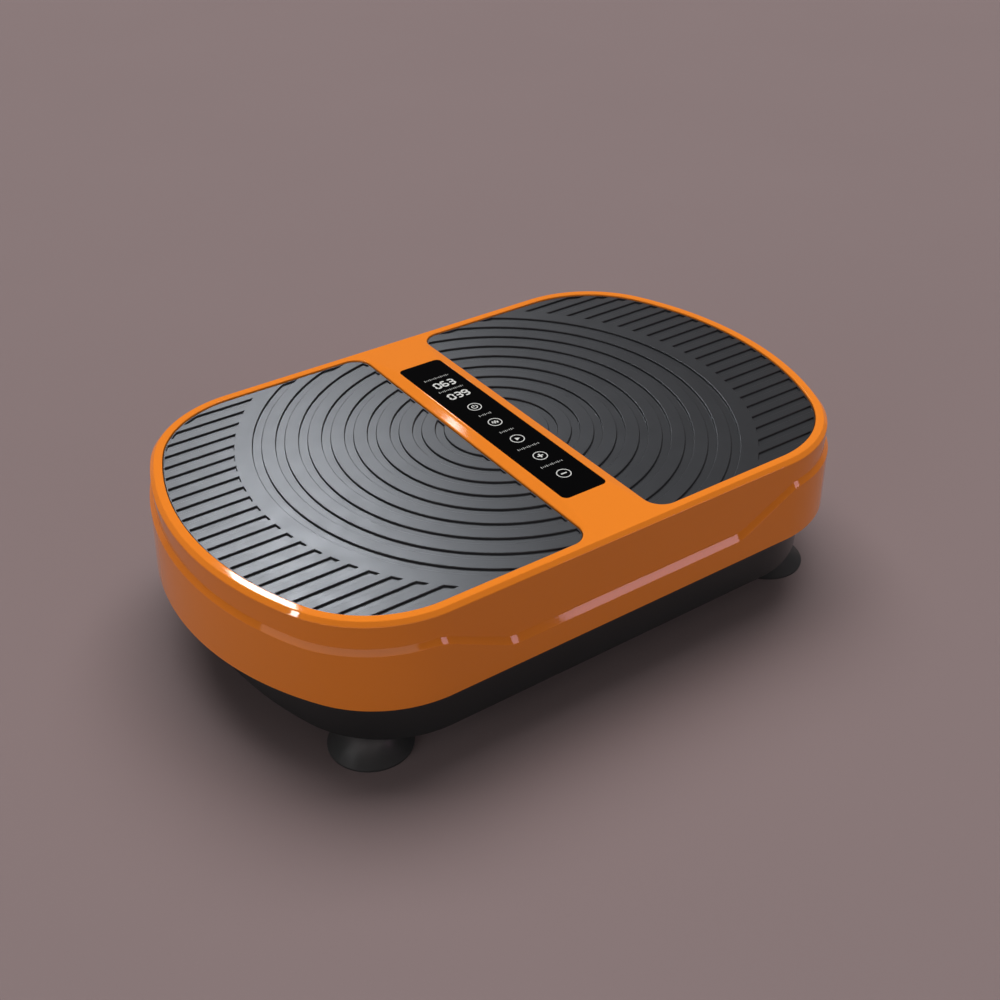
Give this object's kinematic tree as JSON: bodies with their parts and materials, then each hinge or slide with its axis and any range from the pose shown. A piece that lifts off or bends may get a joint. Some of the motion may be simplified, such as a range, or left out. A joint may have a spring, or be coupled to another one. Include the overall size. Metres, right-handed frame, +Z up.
{
  "type": "vibration plate",
  "caption": "Oscillating vibration plate with grooved foot mats, a touch panel bridge, a skirted casing and suction feet.",
  "frame": {"origin": "centre of the whole plate on the floor it stands on", "axes": "+X along the plate to the user's right, +Y away from the user, +Z up"},
  "size_m": [0.5156, 0.326, 0.1315],
  "materials": {
    "orange_gloss": "moulded gloss plastic",
    "black_plastic": "satin moulded plastic",
    "mat_rubber": "satin grooved rubber",
    "panel_gloss": "polished black",
    "foot_rubber": "soft rubber",
    "steel_plate": "black powder coat",
    "zinc_steel": "zinc plated",
    "ground_steel": "ground",
    "cast_iron": "as cast",
    "aluminium": "machined",
    "bronze": "bearing bronze",
    "motor_paint": "grey enamel",
    "belt_rubber": "ribbed belt",
    "board_green": "solder mask",
    "contact_brass": "plated contact"
  },
  "bodies": {
    "base": {"lower_shell": "black_plastic", "base_plate": "steel_plate", "base_screws": "zinc_steel", "foot_front_left": "foot_rubber", "foot_front_right": "foot_rubber", "foot_rear_left": "foot_rubber", "foot_rear_right": "foot_rubber", "foot_studs": "zinc_steel", "foot_nuts": "zinc_steel", "pivot_pedestal_front": "steel_plate", "pivot_pedestal_rear": "steel_plate", "pivot_pin_front": "ground_steel", "pivot_pin_rear": "ground_steel", "stop_posts": "steel_plate", "rubber_stops": "foot_rubber", "motor_can": "motor_paint", "motor_front_cap": "aluminium", "motor_rear_cap": "aluminium", "motor_cradle": "steel_plate", "motor_straps": "zinc_steel", "motor_screws": "zinc_steel", "bearing_block_front": "cast_iron", "bearing_block_rear": "cast_iron", "crank_bearings": "ground_steel", "block_screws": "zinc_steel", "drive_belt": "belt_rubber", "control_board": "board_green", "board_standoffs": "contact_brass", "capacitor": "black_plastic", "heat_sink": "aluminium", "inlet_body": "black_plastic", "inlet_pins": "contact_brass", "inlet_screws": "zinc_steel", "switch_housing": "black_plastic"},
    "deck": {"upper_shell": "orange_gloss", "left_mat": "mat_rubber", "right_mat": "mat_rubber", "panel_cover": "panel_gloss", "panel_board": "board_green", "display_module": "black_plastic", "deck_plate": "steel_plate", "deck_screws": "zinc_steel", "hanger_front": "steel_plate", "hanger_rear": "steel_plate", "pivot_bushes": "bronze", "hanger_screws": "zinc_steel", "rod_bracket": "steel_plate", "rod_pin": "ground_steel"},
    "rotor": {"motor_shaft": "ground_steel", "motor_pulley": "aluminium", "cooling_fan": "black_plastic"},
    "crank": {"crank_shaft": "ground_steel", "crank_pulley": "aluminium", "balance_weight": "cast_iron"},
    "rod": {"connecting_rod": "aluminium", "rod_bearing": "ground_steel"},
    "switch": {"rocker": "black_plastic"}
  },
  "joints": [
    {"name": "deck_rock", "type": "hinge", "parent": "base", "child": "deck", "pos_m": [0, 0, 0.072], "axis": [0, 1, 0], "range_deg": [-0.86, 0.86], "stiffness_Nm_per_rad": 900},
    {"name": "crank_spin", "type": "hinge", "parent": "base", "child": "crank", "pos_m": [0.1, 0, 0.062], "axis": [0, 1, 0], "continuous": true},
    {"name": "rotor_spin", "type": "hinge", "parent": "base", "child": "rotor", "pos_m": [-0.095, 0, 0.064], "axis": [0, 1, 0], "continuous": true},
    {"name": "rod_turn", "type": "hinge", "parent": "crank", "child": "rod", "pos_m": [0.1015, 0, 0.062], "axis": [0, 1, 0], "continuous": true},
    {"name": "rocker_tilt", "type": "hinge", "parent": "base", "child": "switch", "pos_m": [0.028, 0.15026, 0.042], "axis": [0, 0, 1], "range_deg": [-16, 0]}
  ],
  "couplings": [
    {"joint": "rotor_spin", "follows": "crank_spin", "ratio": 2},
    {"joint": "rod_turn", "follows": "crank_spin", "ratio": -1}
  ]
}
